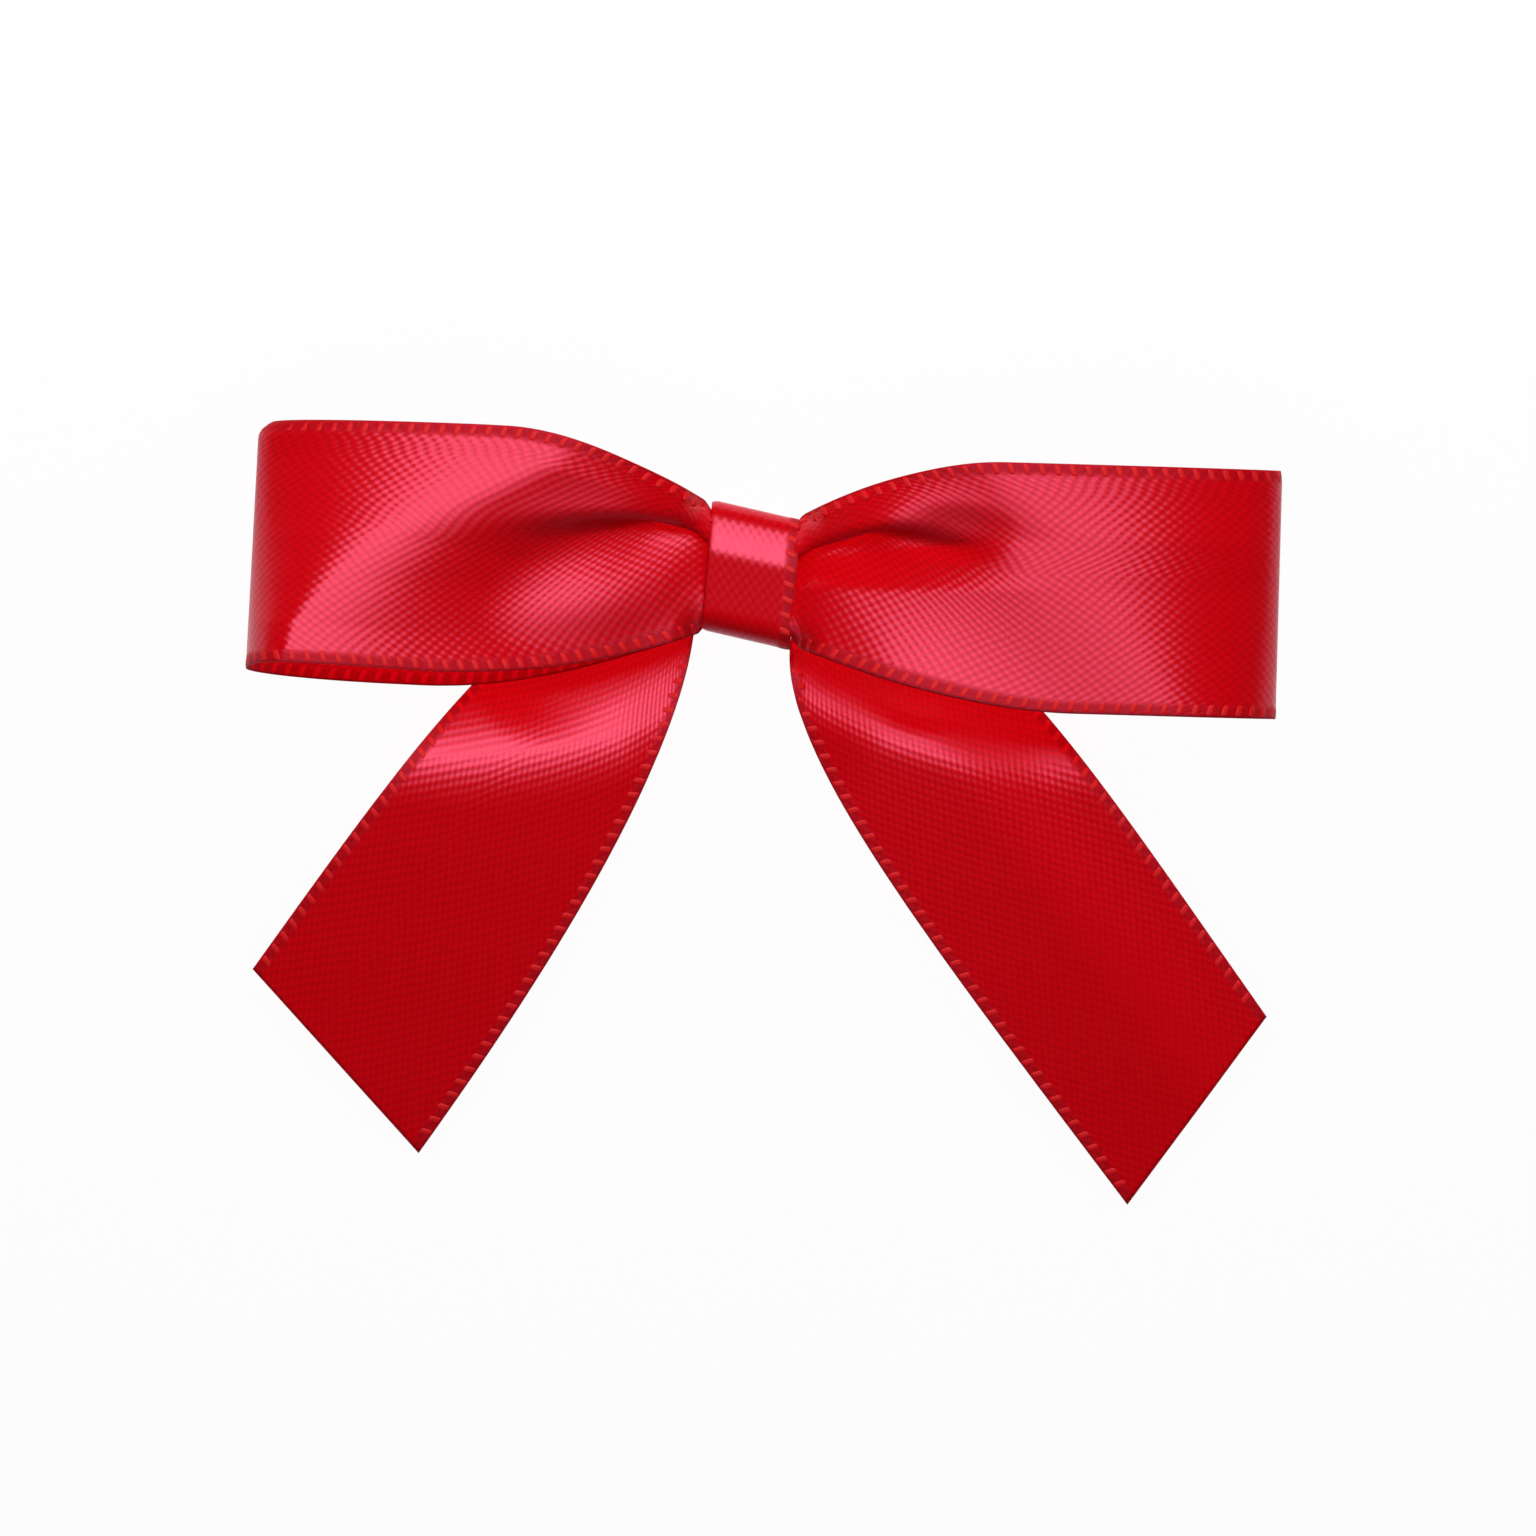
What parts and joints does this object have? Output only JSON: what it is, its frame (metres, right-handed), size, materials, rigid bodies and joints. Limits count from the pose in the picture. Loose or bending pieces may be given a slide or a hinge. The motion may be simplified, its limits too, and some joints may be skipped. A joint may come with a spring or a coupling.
{
  "type": "gift bow",
  "caption": "Pre-made satin gift bow: open ribbon loops and slant-cut tails gathered under a narrow centre band, with a self-adhesive foam pad behind the knot",
  "frame": {"origin": "middle of the resting face under the knot, on the release liner", "axes": "+X along the bow's length to the right loop, +Y up in the front view, away from the tails, +Z out of the front"},
  "size_m": [0.0663, 0.0508, 0.0128],
  "materials": {
    "satin": "satin weave, glossy",
    "band_satin": "satin weave, glossy",
    "thread": "spun",
    "glue": "set glue",
    "foam": "closed-cell foam",
    "liner": "coated paper"
  },
  "bodies": {
    "knot": {"centre_band": "band_satin", "band_glue": "glue", "binding_thread": "thread", "front_waist": "satin", "back_waist": "satin", "tail_waist": "satin", "foam_pad": "foam"},
    "left_loop": {"left_loop": "satin"},
    "right_loop": {"right_loop": "satin"},
    "left_tail": {"left_tail": "satin"},
    "left_tail_tip": {"left_tail_tip": "satin"},
    "right_tail": {"right_tail": "satin"},
    "right_tail_tip": {"right_tail_tip": "satin"},
    "release_liner": {"release_liner": "liner"}
  },
  "joints": [
    {"name": "left_loop_lift", "type": "hinge", "parent": "knot", "child": "left_loop", "pos_m": [-0.00286, 0.00045, 0.0074], "axis": [0.1564, 0.9877, 0], "range_deg": [0, 30], "stiffness_Nm_per_rad": 0.001},
    {"name": "right_loop_lift", "type": "hinge", "parent": "knot", "child": "right_loop", "pos_m": [0.00286, -0.00045, 0.0074], "axis": [-0.1564, -0.9877, 0], "range_deg": [0, 30], "stiffness_Nm_per_rad": 0.001},
    {"name": "left_tail_swing", "type": "hinge", "parent": "knot", "child": "left_tail", "pos_m": [-0.0034, -0.0029, 0.0029], "axis": [0, 0, 1], "range_deg": [-6, 10], "stiffness_Nm_per_rad": 0.001},
    {"name": "right_tail_swing", "type": "hinge", "parent": "knot", "child": "right_tail", "pos_m": [0.00233, -0.00381, 0.0029], "axis": [0, 0, -1], "range_deg": [-6, 10], "stiffness_Nm_per_rad": 0.001},
    {"name": "left_tail_flex", "type": "hinge", "parent": "left_tail", "child": "left_tail_tip", "pos_m": [-0.0175, -0.01771, 0.00474], "axis": [-0.7151, 0.6846, 0.1408], "range_deg": [-15, 45], "stiffness_Nm_per_rad": 0.0005},
    {"name": "right_tail_flex", "type": "hinge", "parent": "right_tail", "child": "right_tail_tip", "pos_m": [0.01812, -0.01993, 0.00495], "axis": [-0.6981, -0.7079, -0.1079], "range_deg": [-15, 45], "stiffness_Nm_per_rad": 0.0005},
    {"name": "liner_peel", "type": "hinge", "parent": "knot", "child": "release_liner", "pos_m": [0.00593, -0.00094, 0.00012], "axis": [-0.1564, -0.9877, 0], "range_deg": [0, 100]}
  ]
}
